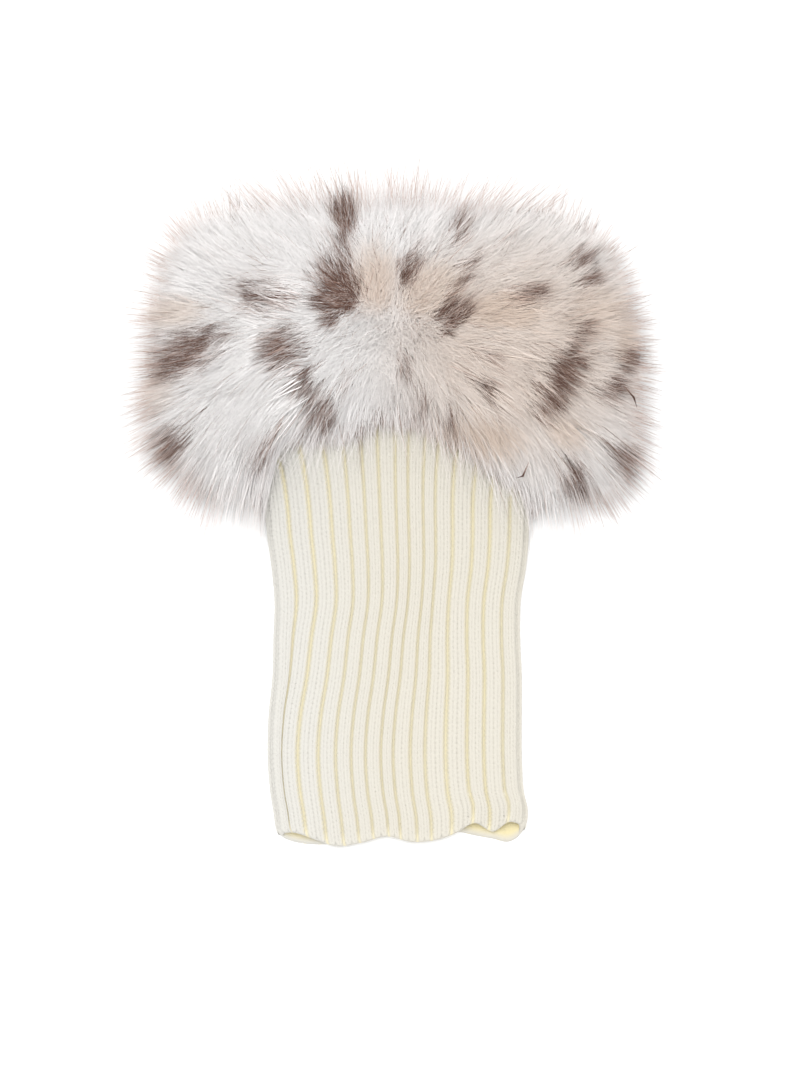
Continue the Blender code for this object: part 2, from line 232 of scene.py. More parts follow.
Spot = namedtuple("Spot", "x height length width heading dark")
FRONT_SPOTS = (
    Spot(-15.8, 191.5, 9.6, 3.8, 92, 0.95),
    Spot(-15.6, 181.0, 7.0, 3.4, 92, 0.55),
    Spot(-18.6, 168.4, 8.4, 6.6, 90, 1.35),
    Spot(-41.4, 166.4, 8.6, 6.2, 165, 0.6),
    Spot(-64.4, 149.3, 12.0, 6.4, 207, 0.9),
    Spot(-35.3, 151.6, 6.0, 6.2, 205, 0.9),
    Spot(-29.5, 141.0, 5.6, 3.8, 300, 0.85),
    Spot(-23.0, 132.5, 6.4, 4.2, 290, 0.85),
    Spot(-15.0, 141.0, 4.4, 1.6, 262, 0.45),
    Spot(-68.7, 121.9, 6.2, 5.0, 225, 0.85),
    Spot(-41.3, 119.5, 5.4, 4.6, 262, 0.6),
    Spot(4.3, 175.5, 6.4, 3.4, 60, 0.85),
    Spot(20.0, 187.5, 7.0, 2.8, 75, 0.5),
    Spot(21.6, 174.2, 6.0, 2.8, 58, 0.7),
    Spot(17.8, 162.0, 6.6, 4.0, 48, 0.88),
    Spot(41.3, 167.2, 6.4, 3.0, 18, 0.75),
    Spot(55.4, 178.6, 4.6, 3.4, 30, 0.8),
    Spot(60.0, 172.0, 4.4, 2.6, 20, 0.75),
    Spot(57.5, 155.6, 5.4, 3.0, 50, 0.7),
    Spot(51.4, 143.4, 8.4, 4.8, 58, 1.0),
    Spot(46.2, 134.2, 5.4, 3.6, 55, 0.85),
    Spot(71.4, 147.6, 5.4, 3.0, 50, 0.85),
    Spot(66.0, 139.6, 5.4, 3.2, 55, 0.9),
    Spot(28.9, 138.0, 4.0, 2.6, 305, 0.85),
    Spot(29.8, 146.6, 3.0, 2.0, 305, 0.6),
    Spot(3.0, 144.0, 4.6, 2.4, 285, 0.6),
    Spot(7.0, 133.6, 4.4, 2.8, 280, 0.5),
    Spot(16.4, 128.4, 4.0, 3.0, 285, 0.6),
    Spot(70.4, 117.2, 6.0, 4.2, 305, 0.85),
    Spot(54.1, 111.9, 6.0, 4.8, 290, 0.75),
    Spot(-24.6, 126.0, 4.4, 4.0, 262, 0.35),
    Spot(-6.4, 126.9, 3.6, 4.0, 262, 0.35),
    Spot(-11.6, 120.0, 4.6, 2.2, 262, 0.5),
)
BACK_SPOTS_ACROSS, BACK_SPOTS_UP = 6, 4
# Two shed hairs that lie on the fur, each by three points (x, height) of its curve
LOOSE_HAIRS = (((39.9, 117.4), (39.6, 112.4), (36.0, 112.2)), ((67.6, 140.6), (71.4, 138.6), (72.6, 133.2)))
LOOSE_RADIUS, LOOSE_DARK, LOOSE_NEAR = 0.34, 4.0, 2.5
LOOSE_DEPTH = 72  # they lie over this percentage of the tips within LOOSE_NEAR
SPOT_CORE, SPOT_EDGE = 0.45, 1.6  # of a spot's size: dark within the first, gone past the second

Zone = namedtuple("Zone", "x height across up warmth")
WARM_ZONES = (
    Zone(38.0, 150.0, 38.0, 34.0, 0.72),
    Zone(-6.4, 171.5, 8.0, 10.5, 0.8),
    Zone(12.0, 168.0, 13.0, 11.0, 0.8),
    Zone(33.0, 162.0, 17.0, 8.5, 1.0),
    Zone(60.0, 161.0, 14.0, 12.0, 0.8),
    Zone(69.0, 153.0, 6.0, 11.0, 0.8),
    Zone(51.0, 126.5, 9.0, 6.5, 0.8),
    Zone(-68.0, 162.0, 9.5, 5.0, 0.6),
    Zone(-73.0, 139.0, 6.0, 7.0, 0.45),
    Zone(26.0, 124.5, 17.0, 7.5, 0.95),
)

# Finishes, as linear colours
FUR_WHITE, FUR_BEIGE = (0.975, 0.958, 0.95), (0.79, 0.64, 0.53)
FUR_BROWN, FUR_DARK, BROWN_AT = (0.42, 0.265, 0.21), (0.05, 0.019, 0.012), 0.5
KNIT_CREAM, KNIT_COOL, KNIT_GROOVE = (0.612, 0.582, 0.512), (0.607, 0.592, 0.55), (0.73, 0.65, 0.40)
PELT_CLOTH = (0.9, 0.87, 0.84)

# Picture
VIEW_CENTRE = (1.2, 95.6)  # x and height in the middle of the picture
VIEW_LENGTH = 324.4  # of the picture's long side, at the cuff's height
LENS, SENSOR = 150.0, 36.0
FOCUS_HEIGHT = 10.0  # height above the surface at which the picture has its scale
FLOOR_SIDE = 4000.0
FLOOR_WHITE = 0.97


def row_frame_shift():
    """From the cuff's own millimetres to the row frame: the knit is centred on x, and ends at KNIT_TOP."""
    low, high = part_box("knit_tube")
    return np.array([(low[0] + high[0]) / 2.0 / MM, high[1] / MM - KNIT_TOP, 0.0])


SHIFT = row_frame_shift()


def eased(low, high, value):
    share = np.clip((value - low) / (high - low), 0.0, 1.0)
    return share * share * (3.0 - 2.0 * share)


def read(rows, column, at):
    """A column of a table at places between its rows, on a smooth curve through them."""
    keys = np.array([row[0] for row in rows], float)
    values = np.array([getattr(row, column) for row in rows], float)
    slopes = np.empty(len(rows))
    slopes[1:-1] = (values[2:] - values[:-2]) / (keys[2:] - keys[:-2])
    slopes[0] = (values[1] - values[0]) / (keys[1] - keys[0])
    slopes[-1] = (values[-1] - values[-2]) / (keys[-1] - keys[-2])
    at = np.clip(at, keys[0], keys[-1])
    low = np.clip(np.searchsorted(keys, at, side="right") - 1, 0, len(rows) - 2)
    span = keys[low + 1] - keys[low]
    t = (at - keys[low]) / span
    return (
        values[low] * (1 + 2 * t) * (1 - t) ** 2
        + values[low + 1] * t * t * (3 - 2 * t)
        + span * slopes[low] * t * (1 - t) ** 2
        - span * slopes[low + 1] * t * t * (1 - t)
    )


def tube_points(height, place, out):
    """Points that lie out from the tube's middle. Place 0 to 1 is the front, 2 to 3 the back, with the folds between."""
    height, place, out = np.broadcast_arrays(height, place, out)
    side = np.floor(place).astype(int) % 4
    share = place - np.floor(place)
    left = read(KNIT_SECTIONS, "left", height) + CROWN
    right = read(KNIT_SECTIONS, "right", height) - CROWN
    angle = math.pi * np.choose(side, [0.0 * share, share, 0.0 * share + 1.0, 1.0 + share])
    x = np.choose(side, [left + share * (right - left), right, right + share * (left - right), left])
    swaying = eased(SWAY_STARTS, SWAY_FULL, share) - eased(SWAY_FADES, SWAY_ENDS, share)
    x = x + read(KNIT_SECTIONS, "sway", height) * swaying * (side == 0)
    front = (1.0 + np.cos(angle)) / 2.0
    x = x + np.sin(angle) * out
    z = read(KNIT_SECTIONS, "lift", height) + np.cos(angle) * out
    hem = front * read(HEM, "front", x) + (1.0 - front) * read(HEM, "back", x)
    y = height + hem * (1.0 - eased(0.0, HEM_FADE, height))
    for mouth in MOUTHS:
        near = 1.0 - eased(0.0, mouth.reach, np.abs(x - mouth.x))
        z = z + front * mouth.rise * near * (1.0 - eased(0.0, MOUTH_FADE, height))
    return np.stack([x, y, np.maximum(z, 0.0)], -1)


def out_from_tube(height, place, out):
    """The direction away from the tube's middle."""
    return tube_points(height, place, out + 1.0) - tube_points(height, place, out)


def rib_edges():
    """Where each rib starts, as a distance round the tube from the front end of its left fold."""
    other_ribs = RIBS - len(FRONT_RIB_WIDTHS)
    other_width = (GIRTH - sum(FRONT_RIB_WIDTHS)) / other_ribs
    widths = FRONT_RIB_WIDTHS + (other_width,) * other_ribs
    return FIRST_GROOVE + np.concatenate([[0.0], np.cumsum(widths)])


def place_round(distance):
    """The place of a distance round the tube: each run and each fold counts as one."""
    ends = np.cumsum([0.0, FRONT_RUN, FOLD_RUN, FRONT_RUN, FOLD_RUN])
    return np.interp(np.mod(distance, GIRTH), ends, np.arange(5.0)) % 4.0


def rib_rise(share):
    """How high the knit stands at a share of a rib's width, as a share of its crown."""
    split = RIB_SPLIT * np.exp(-(((share - 0.5) / SPLIT_WIDTH) ** 2))
    return 1.0 - np.abs(2.0 * share - 1.0) ** RIB_SHARPNESS - split


def knit_out(height, share):
    """How far the knit's outside lies from the tube's middle."""
    grooved = eased(GROOVES_START, GROOVES_FULL, height) * eased(0.0, GROOVES_FULL, KNIT_TOP - height)
    return HALF_GAP + WALL + RIB_RISE * (HEM_FILL + (rib_rise(share) - HEM_FILL) * grooved)


def yellowed(share, place):
    """How far the cream has turned yellow towards the grooves, which it does on the front and back alone."""
    run = place % 2.0
    flat = eased(0.0, FOLD_FADE, run) * (1.0 - eased(1.0 - FOLD_FADE, 1.0, run))
    flat = flat * (MIDDLE_TINT + (1.0 - MIDDLE_TINT) * eased(0.12, 0.4, np.abs(run - 0.5)))
    return GROOVE_TINT * flat * eased(GROOVE_TINT_STARTS, GROOVE_TINT_FULL, np.abs(2.0 * share - 1.0))


def cooled(points):
    """How far the cream has turned grey."""
    return 1.0 - eased(COOL_LEFT, COOL_ENDS, points[..., 0])


def new_piece(name, points, faces, finish, colour_map=None, values=None):
    """A piece from points in millimetres and rows of corners. values holds one number for each point, by name."""
    mesh = bpy.data.meshes.new(name)
    count, corners = faces.shape
    mesh.vertices.add(len(points))
    mesh.vertices.foreach_set("co", ((points + SHIFT) * MM).astype(np.float32).ravel())
    mesh.loops.add(count * corners)
    mesh.loops.foreach_set("vertex_index", faces.astype(np.int32).ravel())
    mesh.polygons.add(count)
    mesh.polygons.foreach_set("loop_start", np.arange(0, count * corners, corners, dtype=np.int32))
    mesh.update(calc_edges=True)
    mesh.shade_smooth()
    if colour_map is not None:
        layer = mesh.uv_layers.new(name="OFBake")
        layer.uv.foreach_set("vector", colour_map[faces.ravel()].astype(np.float32).ravel())
    for value_name, numbers in (values or {}).items():
        attribute = mesh.attributes.new(value_name, "FLOAT", "POINT")
        attribute.data.foreach_set("value", numbers.astype(np.float32).ravel())
    mesh.materials.append(finish)
    piece = bpy.data.objects.new(name, mesh)
    bpy.context.scene.collection.objects.link(piece)
    return piece


def shade(piece, normals):
    """Lets a piece take light along these directions, one for each of its points."""
    normals = normals / np.linalg.norm(normals, axis=1, keepdims=True)
    piece.data.normals_split_custom_set_from_vertices(normals.tolist())


def shade_like(piece, outward, share):
    """The same, between the piece's own normals and these."""
    own = np.empty(len(outward) * 3, np.float32)
    piece.data.vertex_normals.foreach_get("vector", own)
    shade(piece, share * outward + (1.0 - share) * own.reshape(-1, 3))


def ring_faces(rings, closed=True):
    """Quads between each ring of points and the next."""
    after = np.roll(rings, -1, axis=1) if closed else rings[:, 1:]
    here = rings if closed else rings[:, :-1]
    return np.stack([here[:-1], after[:-1], after[1:], here[1:]], -1).reshape(-1, 4)


def edge_closing(height, length):
    """From 0 at either edge of a wall to 1 where it has its full thickness."""
    near = np.clip(np.minimum(height, length - height) / EDGE_ROUND, 0.0, 1.0)
    return np.sqrt(1.0 - (1.0 - near) ** 2)


def knit_wall(finish):
    """The ribbed tube as one closed wall, which the stitches lie on."""
    edges = rib_edges()
    shares = np.arange(RIB_STEPS) / RIB_STEPS
    rib = np.repeat(np.arange(RIBS), RIB_STEPS)
    share = np.tile(shares, RIBS)
    place = place_round(edges[rib] + share * (edges[rib + 1] - edges[rib]))
    steps = np.arange(RING_STEP, KNIT_TOP - RING_STEP / 2.0, RING_STEP)
    rising = np.concatenate([EDGE_RINGS, steps, KNIT_TOP - np.array(EDGE_RINGS[::-1])])
    outside, inside, outward = [], [], []
    for height in np.concatenate([[0.0], rising, [KNIT_TOP]]):
        outer = knit_out(height, share) - WALL_SINK
        middle = (outer + HALF_GAP) / 2.0
        closing = edge_closing(height, KNIT_TOP)
        outside.append(tube_points(height, place, middle + (outer - middle) * closing))
        outward.append(lifted(out_from_tube(height, place, outer))[0] * closing)
    for height in rising[::-2]:
        outer = knit_out(height, share) - WALL_SINK
        middle = (outer + HALF_GAP) / 2.0
        inside.append(tube_points(height, place, middle + (HALF_GAP - middle) * edge_closing(height, KNIT_TOP)))
    points = np.concatenate(outside + inside)
    rings = np.arange(len(points)).reshape(-1, len(place))
    faces = ring_faces(np.concatenate([rings, rings[:1]]))
    grooves = np.tile(yellowed(share, place), len(outside))
    lining = np.repeat(eased(*LINING_TINT, rising[::-2]), len(place))
    groove = np.concatenate([grooves, lining])
    around = np.tile(np.arange(len(place)) / len(place), len(rings))
    along = np.repeat(np.arange(len(rings)) / len(rings), len(place))
    colours = {"groove": groove, "cool": cooled(points)}
    piece = new_piece("knit_wall", points, faces, finish, np.stack([around, along], -1), colours)
    outward = np.concatenate(outward)
    shade_like(piece, np.concatenate([outward, np.zeros((len(points) - len(outward), 3))]), WALL_SHADING)
    return piece


def template(make):
    """The points and triangles of a shape that an operator adds and that is then copied many times."""
    bpy.ops.object.select_all(action="DESELECT")
    make()
    model = bpy.context.object
    bpy.ops.object.mode_set(mode="EDIT")
    bpy.ops.mesh.select_all(action="SELECT")
    bpy.ops.mesh.quads_convert_to_tris()
    bpy.ops.mesh.normals_make_consistent(inside=False)
    bpy.ops.object.mode_set(mode="OBJECT")
    bpy.ops.object.transform_apply(location=True, rotation=True, scale=True)
    points = np.array([vertex.co[:] for vertex in model.data.vertices])
    faces = np.array([polygon.vertices[:] for polygon in model.data.polygons])
    bpy.data.objects.remove(model, do_unlink=True)
    return points, faces


def stitch_leg():
    """Half of a stitch: a plump leg that runs along Y."""
    bpy.ops.mesh.primitive_uv_sphere_add(segments=4, ring_count=3, radius=1.0, rotation=(math.pi / 2.0, 0.0, 0.0))


def hair(ring):
    """A three-sided hair along Z from 0 to 1, pointed at both ends, and thickest at its ring of corners."""
    def make():
        bpy.ops.mesh.primitive_cone_add(
            vertices=3, radius1=1.0, radius2=0.0, depth=1.0 - ring, end_fill_type="TRIFAN",
            location=(0.0, 0.0, (1.0 + ring) / 2.0),
        )

    points, faces = template(make)
    on_axis = np.hypot(points[:, 0], points[:, 1]) < 1e-6
    points[on_axis, 2] = np.round((points[on_axis, 2] - ring) / (1.0 - ring))
    return points, faces


def copied(faces, count, points_each):
    """The faces of a template for each of its copies."""
    return (faces[None] + points_each * np.arange(count)[:, None, None]).reshape(-1, faces.shape[1])


def knit_stitches(name, ribs, last_row, finish):
    """Rows of V stitches on these ribs: two columns a rib, two legs a stitch."""
    leg, leg_faces = template(stitch_leg)
    edges = rib_edges()
    rows = np.arange(FIRST_ROW, last_row, STITCH_ROW)
    rib, column, hand, row = (
        values.ravel()[:, None]
        for values in np.meshgrid(ribs, COLUMN_SHARES, (-1.0, 1.0), rows, indexing="ij")
    )
    rib = rib.astype(int)
    width = edges[rib + 1] - edges[rib]
    across, along, out = leg.T
    share = column + hand * (LEG_OFFSET + LEG_TILT * along) + LEG_WIDTH * across
    height = row + along * LEG_LENGTH * STITCH_ROW / 2.0
    centre = knit_out(height, share) - WALL_SINK - LEG_DIP * along**2
    place = place_round(edges[rib] + share * width)
    points = tube_points(height, place, centre + LEG_THICK * (1.0 + out) / 2.0)
    faces = copied(leg_faces, len(rib), len(leg))
    groove = (yellowed(np.clip(share, 0.0, 1.0), place) * np.ones_like(height)).ravel()
    cool = cooled(points).ravel()
    colour_map = 0.01 + 0.98 * np.stack([groove, cool], -1)
    colours = {"groove": groove, "cool": cool}
    piece = new_piece(name, points.reshape(-1, 3), faces, finish, colour_map, colours)
    shade_like(piece, lifted(out_from_tube(height, place, centre).reshape(-1, 3))[0], LEG_SHADING)
    return piece


def pelt(finish):
    """The cloth that the fur grows from, as one closed wall round the knit."""
    columns, rows = 128, 14
    place = np.arange(columns) * 4.0 / columns
    low = read(PELT_EDGES, "low", place)
    points = []
    for out, levels in ((PELT_THICK, np.linspace(0.0, 1.0, rows)), (0.0, np.linspace(1.0, 0.0, rows))):
        for level in levels:
            points.append(tube_points(low + level * (PELT_TOP - low), place, PELT_INSIDE + out))
    points = np.concatenate(points)
    rings = np.arange(len(points)).reshape(-1, columns)
    faces = ring_faces(np.concatenate([rings, rings[:1]]))
    around = np.tile(np.arange(columns) / columns, len(rings))
    along = np.repeat(np.arange(len(rings)) / len(rings), columns)
    return new_piece("pelt", points, faces, finish, np.stack([around, along], -1))


def core_of(points):
    """The nearest points on the tube's flat middle, with the ends of the middle there."""
    left = read(KNIT_SECTIONS, "left", points[:, 1]) + CROWN
    right = read(KNIT_SECTIONS, "right", points[:, 1]) - CROWN
    lift = read(KNIT_SECTIONS, "lift", points[:, 1])
    return np.clip(points[:, 0], left, right), lift, left, right


def scattered_tips(count, front, draw):
    """Places for the tips of hairs, spread over the outside of the part's fur, with its inner side left out."""
    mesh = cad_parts["fur_band"].data
    mesh.calc_loop_triangles()
    places = np.empty(len(mesh.vertices) * 3, np.float32)
    mesh.vertices.foreach_get("co", places)
    triangles = np.empty(len(mesh.loop_triangles) * 3, np.int32)
    mesh.loop_triangles.foreach_get("vertices", triangles)
    corners = (places.reshape(-1, 3) / MM - SHIFT)[triangles.reshape(-1, 3)]
    middles = corners.mean(axis=1)
    x, z, _, _ = core_of(middles)
    away = np.stack([middles[:, 0] - x, middles[:, 2] - z], -1)
    away /= np.linalg.norm(away, axis=1, keepdims=True)
    cross = np.cross(corners[:, 1] - corners[:, 0], corners[:, 2] - corners[:, 0])
    area = np.linalg.norm(cross, axis=1)
    outward = (cross[:, [0, 2]] * away).sum(axis=1) > -0.5 * area
    up = cross[:, 2] / np.maximum(area, 1e-9)
    wanted = area * outward * (1.0 + front * up)
    chosen = draw.choice(len(area), count, p=wanted / wanted.sum())
    first, second = np.sqrt(draw.random(count)), draw.random(count)
    shares = np.stack([1.0 - first, first * (1.0 - second), first * second], -1)
    return (corners[chosen] * shares[..., None]).sum(axis=1)


def ripple(points, size, draw, waves=5):
    """A smooth unevenness of about this size through space, from -1 to 1."""
    ways = draw.normal(size=(waves, 3))
    ways *= 2.0 * math.pi / size / np.linalg.norm(ways, axis=1, keepdims=True)
    starts = draw.random(waves) * 2.0 * math.pi
    return np.sin(points @ ways.T + starts).mean(axis=1) * math.sqrt(2.0 / waves) * waves / 2.0


def combed(x, height, on_front):
    """The direction that the fur is combed in, shorter where it stands up from the pelt."""
    strokes = np.array(STROKES, float)
    angle = np.radians(strokes[:, 2])
    apart = (x[:, None] - strokes[:, 0]) ** 2 + (height[:, None] - strokes[:, 1]) ** 2
    weight = (apart + STROKE_REACH**2) ** -2.0
    weight /= weight.sum(axis=1, keepdims=True)
    front = np.stack([weight @ np.cos(angle), weight @ np.sin(angle)], -1)
    back = np.stack([x - BACK_CROWN[0], height - BACK_CROWN[1]], -1) / 22.0
    back /= np.maximum(np.linalg.norm(back, axis=1, keepdims=True), 1.0)
    return np.where(on_front[:, None], front, back)


def roots_of(tips, draw):
    """Where each hair leaves the pelt, the direction it leaves in and the way that the fur faces at its tip."""
    count = len(tips)
    core, lift, left, right = core_of(tips)
    on_front = tips[:, 2] >= lift
    facing = np.where(on_front, 1.0, -1.0)
    end = np.where(tips[:, 0] > 0.0, right, left)
    hand = np.where(tips[:, 0] > 0.0, 1.0, -1.0)
    past = np.maximum(hand * (tips[:, 0] - end), 0.0)
    turn = np.arctan2(past, np.abs(tips[:, 2] - lift)) / (math.pi / 2.0)
    nap = combed(tips[:, 0], tips[:, 1], on_front)
    swing = np.radians(18.0) * ripple(tips, 24.0, draw) + np.radians(22.0) * ripple(tips, 8.0, draw)
    swing = swing + np.radians(19.0) * draw.normal(size=count)
    nap = np.stack(
        [
            nap[:, 0] * np.cos(swing) - nap[:, 1] * np.sin(swing),
            nap[:, 0] * np.sin(swing) + nap[:, 1] * np.cos(swing),
        ],
        -1,
    )
    from_crown = np.hypot(
        (tips[:, 0] - CROWN_AT[0]) / CROWN_REACH[0], (tips[:, 1] - CROWN_AT[1]) / CROWN_REACH[1]
    )
    nap = nap + draw.normal(size=nap.shape) * (0.5 - 0.34 * eased(0.0, 0.8, from_crown))[:, None]
    lean = LEAN * (LEAN_AT_CROWN + (1.0 - LEAN_AT_CROWN) * eased(0.0, 1.0, from_crown))
    lean = lean * draw.uniform(0.75, 1.2, count)
    reach = (right - left) / 2.0
    middle = (right + left) / 2.0
    hung = 0.2 + 0.8 * eased(*LOBES, tips[:, 1])
    fanned = EDGE_ROOTS * hung
    inner = (core - middle) * (reach - fanned) / reach + middle - lean * hung * nap[:, 0] * (1.0 - turn)
    inner = np.clip(inner, left + 1.0, right - 1.0)
    gone = turn * (fanned + math.pi / 2.0 * PELT_INSIDE)
    bend = np.clip((gone - fanned) / PELT_INSIDE, 0.0, math.pi / 2.0)
    root_x = np.where(past > 0.0, end - hand * np.maximum(fanned - gone, 0.0), inner)
    low = read(PELT_EDGES, "low", place_near(root_x, left, right, on_front, bend * 2.0 / math.pi, hand))
    half = (PELT_TOP - low) / 2.0
    wanted = (tips[:, 1] - (low - 10.0)) / (200.0 - low + 10.0) * 2.0 - 1.0
    wanted = wanted - lean * nap[:, 1] * (1.0 - SIDE_UPRIGHT * turn) / half
    root_height = low + half + half * 0.97 * np.tanh(1.15 * wanted)
    root_lift = read(KNIT_SECTIONS, "lift", root_height)
    foot = PELT_INSIDE + PELT_THICK * 0.7
    off_pelt = np.stack([hand * np.sin(bend), np.zeros(count), facing * np.cos(bend)], -1)
    roots = np.stack([root_x, root_height, root_lift], -1) + off_pelt * foot
    roots[:, 2] = np.maximum(roots[:, 2], 0.4)
    angle = turn * math.pi / 2.0
    leaving = np.stack([hand * np.sin(angle), np.zeros(count), facing * np.cos(angle)], -1)
    pile = np.hypot(past, tips[:, 2] - lift) - foot
    length = np.linalg.norm(tips - roots, axis=1)
    knees = roots + leaving * np.minimum(KNEE * length, np.maximum(pile * 0.8, 1.2))[:, None]
    beyond = tips[:, 1] - np.clip(tips[:, 1], low + 12.0, PELT_TOP - 8.0)
    faced = leaving * np.maximum(pile, 4.0)[:, None]
    faced[:, 1] += beyond
    return roots, knees, faced / np.linalg.norm(faced, axis=1, keepdims=True)


def lifted(faced):
    """The way that the pile takes light, and how near it is to the outline."""
    rim = np.sqrt(np.maximum(1.0 - faced[:, 2] ** 2, 0.0))
    up = faced.copy()
    up[:, 2] += LIFTED * eased(-0.7, 0.0, up[:, 2])
    return up / np.maximum(np.linalg.norm(up, axis=1, keepdims=True), 1e-6), eased(0.8, 0.985, rim)


def hanging(coat, draw):
    """Hairs that hang over the pelt's lower edge and lie along the knit: their roots, knees, tips and facings."""
    place = np.interp(draw.random(coat.hairs), *FRINGE_SPREAD)
    low = read(PELT_EDGES, "low", place)
    roots = tube_points(low + FRINGE_ROOTS * draw.random(coat.hairs), place, PELT_INSIDE + PELT_THICK * 0.8)
    drop = draw.uniform(*FRINGE_DROP, coat.hairs) + FRINGE_UNEVEN * ripple(roots, 5.0, draw)
    along = draw.uniform(0.3, 2.6, coat.hairs)
    knees = tube_points(low - 0.25 * drop, place, PELT_INSIDE + PELT_THICK + along + 0.6)
    tips = tube_points(low - drop, place, PELT_INSIDE + along)
    _, lift, _, _ = core_of(tips)
    on_front = tips[:, 2] >= lift
    nap = combed(tips[:, 0], tips[:, 1], on_front) + 0.3 * draw.normal(size=(coat.hairs, 2))
    aside = np.clip(nap[:, 0] / np.maximum(-nap[:, 1], 0.4), -0.7, 0.7) * drop * ((place % 2.0) < 1.0)
    knees[:, 0] += 0.4 * aside
    tips[:, 0] += aside
    faced = tips - np.stack([core_of(tips)[0], tips[:, 1] + 1.5, lift], -1)
    behind = (place > 2.0) & (place < 3.0)
    return roots, knees, tips, faced / np.linalg.norm(faced, axis=1, keepdims=True), ~behind


def standing(coat, draw):
    """The same for hairs that stand round the pelt's upper edge and lean over the opening."""
    place = place_round(GIRTH * draw.random(coat.hairs))
    up = draw.uniform(*BROW_RISE, coat.hairs)
    out = PELT_INSIDE + PELT_THICK
    roots = tube_points(PELT_TOP - BROW_ROOTS * draw.random(coat.hairs), place, out - 0.2)
    knees = tube_points(PELT_TOP + 0.5 * up, place, out + 1.5)
    tips = tube_points(PELT_TOP + up, place, draw.uniform(*BROW_OUT, coat.hairs))
    tips = tips + draw.normal(size=tips.shape) * 0.8
    faced = out_from_tube(PELT_TOP, place, out) + np.array([0.0, 1.0, 0.0])
    faced /= np.linalg.norm(faced, axis=1, keepdims=True)
    return roots, knees, tips, faced, tips[:, 2] >= core_of(tips)[1]


def place_near(x, left, right, on_front, turn, hand):
    """The place round the tube of a point at x on the front or back, or this far round the fold."""
    share = (x - left) / (right - left)
    front = np.where(turn > 0.0, np.where(hand > 0.0, 1.0 + turn / 2.0, 4.0 - turn / 2.0), share)
    back = np.where(turn > 0.0, np.where(hand > 0.0, 2.0 - turn / 2.0, 3.0 + turn / 2.0), 3.0 - share)
    return np.where(on_front, front, back)


def back_spots(draw):
    """Spots for the side that the photograph doesn't show, on an uneven grid."""
    spots = []
    for column in range(BACK_SPOTS_ACROSS):
        for row in range(BACK_SPOTS_UP):
            x = -62.0 + 124.0 * (column + 0.5 * (row % 2) + draw.uniform(-0.25, 0.25)) / (BACK_SPOTS_ACROSS - 0.5)
            height = 112.0 + 80.0 * (row + draw.uniform(-0.25, 0.25)) / (BACK_SPOTS_UP - 1)
            heading = math.degrees(math.atan2(height - BACK_CROWN[1], x - BACK_CROWN[0]))
            spots.append(Spot(x, height, draw.uniform(4.0, 9.0), draw.uniform(2.8, 5.2), heading, draw.uniform(0.5, 1.0)))
    return spots


def spotted(points, spots, unevenness):
    """How dark the coat is at each point, from 0 to 1."""
    darkest = np.zeros(len(points))
    for spot in spots:
        angle = math.radians(spot.heading)
        right, up = points[:, 0] - spot.x, points[:, 1] - spot.height
        along = (right * math.cos(angle) + up * math.sin(angle)) / spot.length
        aside = (up * math.cos(angle) - right * math.sin(angle)) / spot.width
        apart = np.hypot(along, aside) + 0.34 * unevenness
        darkest = np.maximum(darkest, spot.dark * (1.0 - eased(SPOT_CORE, SPOT_EDGE, apart)))
    return darkest


def warmed(points):
    warmest = np.zeros(len(points))
    for zone in WARM_ZONES:
        apart = np.hypot((points[:, 0] - zone.x) / zone.across, (points[:, 1] - zone.height) / zone.up)
        warmest = np.maximum(warmest, zone.warmth * (1.0 - eased(0.35, 1.5, apart)))
    return warmest


def reached(points):
    """How much longer the hair grows at each point."""
    longer = np.zeros(len(points))
    for place in REACHES:
        apart = np.hypot((points[:, 0] - place.x) / place.across, (points[:, 1] - place.height) / place.up)
        longer = longer + place.longer * (1.0 - eased(0.3, 1.2, apart))
    return longer


def along_hair(roots, knees, tips, share):
    """Points on each hair's curve, from its root through the bend that its knee gives it to its tip."""
    share = share[None, :, None]
    return (1 - share) ** 2 * roots[:, None] + 2 * share * (1 - share) * knees[:, None] + share**2 * tips[:, None]


def hair_colours(seen, on_front, tuft, draw, spots_behind, underneath=False):
    """How dark and how warm each hair is. Underneath, every hair of a spot is a little dark."""
    unevenness = ripple(seen, 6.5, draw)
    dark = np.where(on_front, spotted(seen, FRONT_SPOTS, unevenness), spotted(seen, spots_behind, unevenness))
    warm = np.where(on_front, warmed(seen), 0.45 + 0.35 * ripple(seen, 45.0, draw))
    warm = warm * draw.uniform(0.75, 1.1, len(seen)) + 0.04 * draw.random(TUFTS)[tuft]
    if underneath:
        return np.clip(dark * draw.uniform(*UNDER_DARK, len(seen)), 0.0, 1.0), np.clip(warm, 0.0, 1.0)
    luck = 0.62 * draw.random(TUFTS)[tuft] + 0.38 * draw.random(len(seen))
    dark = eased(-0.02, 0.06, DARK_SHARE * dark - luck) * draw.uniform(0.85, 1.0, len(seen))
    often = STRAY_DARK * np.maximum(1.0 + 2.2 * ripple(seen, 14.0, draw), 0.0)
    stray = (draw.random(len(seen)) < often) * draw.uniform(0.4, 0.9, len(seen))
    dark = np.maximum(dark, stray)
    return np.clip(dark, 0.0, 1.0), np.clip(warm, 0.0, 1.0)


